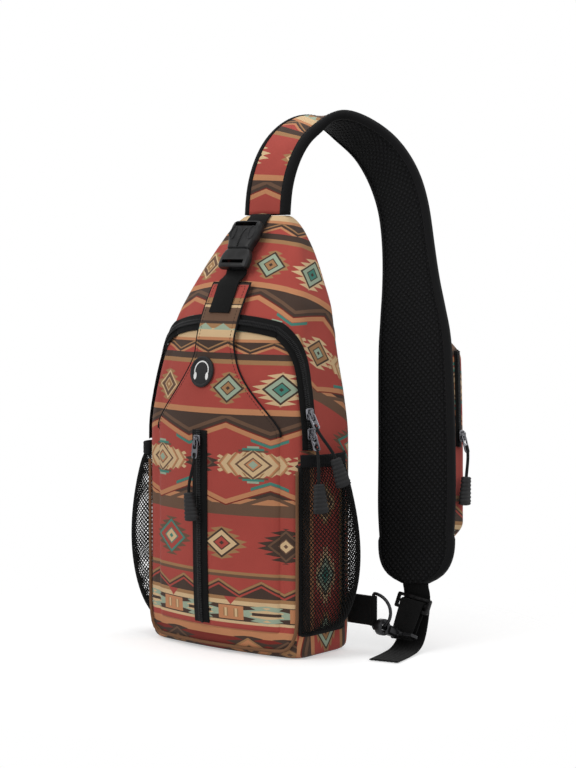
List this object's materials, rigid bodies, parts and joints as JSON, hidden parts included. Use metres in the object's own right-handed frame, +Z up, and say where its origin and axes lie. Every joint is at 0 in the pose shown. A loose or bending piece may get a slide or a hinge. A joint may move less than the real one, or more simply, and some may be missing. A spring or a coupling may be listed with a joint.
{
  "type": "sling backpack",
  "caption": "Teardrop one-shoulder sling backpack in printed cloth, with arch and front zips, mesh side pockets, a side-release buckle and a padded strap clipped at the base.",
  "frame": {"origin": "middle of the base that the bag stands on", "axes": "+Z up along the bag's height, +X to the side that the strap hangs on, -Y out of the front"},
  "size_m": [0.3194, 0.2091, 0.5242],
  "materials": {
    "print_cloth": "woven polyester with a printed banded pattern",
    "padded_mesh": "black padded air mesh with bound edges",
    "piping": "folded printed cloth piping",
    "zip_tape": "woven zip tape",
    "zip_coil": "nylon coil",
    "rubber": "moulded soft rubber",
    "netting": "open diamond netting",
    "binding": "elastic binding",
    "slider_metal": "bright plated zinc",
    "cord": "braided cord",
    "buckle_plastic": "moulded acetal",
    "webbing": "ribbed webbing",
    "black_metal": "blackened steel and zinc"
  },
  "bodies": {
    "bag": {"main_body": "print_cloth", "front_panel": "print_cloth", "strap_pocket": "print_cloth", "back_panel": "padded_mesh", "strap_pad": "padded_mesh", "base_piping": "piping", "main_zip_tape": "zip_tape", "front_zip_tape": "zip_tape", "strap_zip_tape": "zip_tape", "main_zip_coil": "zip_coil", "front_zip_coil": "zip_coil", "strap_zip_coil": "zip_coil", "headphone_port": "rubber", "mesh_pocket_left": "netting", "pocket_elastic_left": "binding", "mesh_pocket_right": "netting", "pocket_elastic_right": "binding", "buckle_socket": "buckle_plastic", "buckle_plug": "buckle_plastic", "tri_glide": "buckle_plastic", "buckle_webbing_upper": "webbing", "buckle_webbing_lower": "webbing", "strap_webbing": "webbing", "hook_webbing": "webbing", "tab_webbing": "webbing", "hook_eye": "black_metal"},
    "front_slider_body": {"front_slider": "slider_metal"},
    "main_upper_slider_body": {"main_upper_slider": "slider_metal"},
    "main_lower_slider_body": {"main_lower_slider": "slider_metal"},
    "strap_slider_body": {"strap_slider": "slider_metal"},
    "front_pull": {"front_pull_tab": "slider_metal", "front_pull_cord": "cord", "front_pull_grip": "rubber"},
    "main_upper_pull": {"main_upper_pull_tab": "slider_metal", "main_upper_pull_cord": "cord", "main_upper_pull_grip": "rubber"},
    "main_lower_pull": {"main_lower_pull_tab": "slider_metal", "main_lower_pull_cord": "cord", "main_lower_pull_grip": "rubber"},
    "strap_pull": {"strap_pull_tab": "slider_metal", "strap_pull_cord": "cord", "strap_pull_grip": "rubber"},
    "d_ring_body": {"d_ring": "black_metal"},
    "snap_hook_body": {"snap_hook": "black_metal"},
    "hook_gate_body": {"hook_gate": "black_metal"}
  },
  "joints": [
    {"name": "front_zip_slide", "type": "slide", "parent": "bag", "child": "front_slider_body", "axis": [0, 0, -1], "range_m": [0, 0.11]},
    {"name": "front_pull_swing", "type": "hinge", "parent": "front_slider_body", "child": "front_pull", "pos_m": [-0.00938, -0.06914, 0.203], "axis": [-0.999, 0.0454, 0], "range_deg": [0, 140]},
    {"name": "main_upper_zip_slide", "type": "slide", "parent": "bag", "child": "main_upper_slider_body", "axis": [-0.1622, 0.0437, 0.9858], "range_m": [0, 0.03]},
    {"name": "main_upper_pull_swing", "type": "hinge", "parent": "main_upper_slider_body", "child": "main_upper_pull", "pos_m": [0.1024, -0.03277, 0.23213], "axis": [-0.3076, -0.9515, -0.0084], "range_deg": [0, 110]},
    {"name": "main_lower_zip_slide", "type": "slide", "parent": "bag", "child": "main_lower_slider_body", "axis": [0.0672, -0.0106, -0.9977], "range_m": [0, 0.008]},
    {"name": "main_lower_pull_swing", "type": "hinge", "parent": "main_lower_slider_body", "child": "main_lower_pull", "pos_m": [0.10475, -0.03323, 0.21346], "axis": [-0.3083, -0.9512, -0.0107], "range_deg": [0, 30]},
    {"name": "strap_zip_slide", "type": "slide", "parent": "bag", "child": "strap_slider_body", "axis": [-0.1267, 0.1546, 0.9798], "range_m": [0, 0.03]},
    {"name": "strap_pull_swing", "type": "hinge", "parent": "strap_slider_body", "child": "strap_pull", "pos_m": [0.17787, 0.10929, 0.2056], "axis": [0, -0.9878, 0.1559], "range_deg": [0, 120]},
    {"name": "d_ring_swing", "type": "hinge", "parent": "bag", "child": "d_ring_body", "pos_m": [0.129, 0.03, 0.041], "axis": [0, 0, 1], "range_deg": [-2.5, 1.5]},
    {"name": "hook_swivel", "type": "hinge", "parent": "bag", "child": "snap_hook_body", "pos_m": [0.144, 0.057, 0.0145], "axis": [-0.1504, -0.9022, 0.4043], "range_deg": [-2, 8]},
    {"name": "gate_press", "type": "hinge", "parent": "snap_hook_body", "child": "hook_gate_body", "pos_m": [0.13966, 0.0285, 0.02059], "axis": [-0.9886, 0.1373, -0.0615], "range_deg": [0, 20], "stiffness_Nm_per_rad": 0.01}
  ]
}
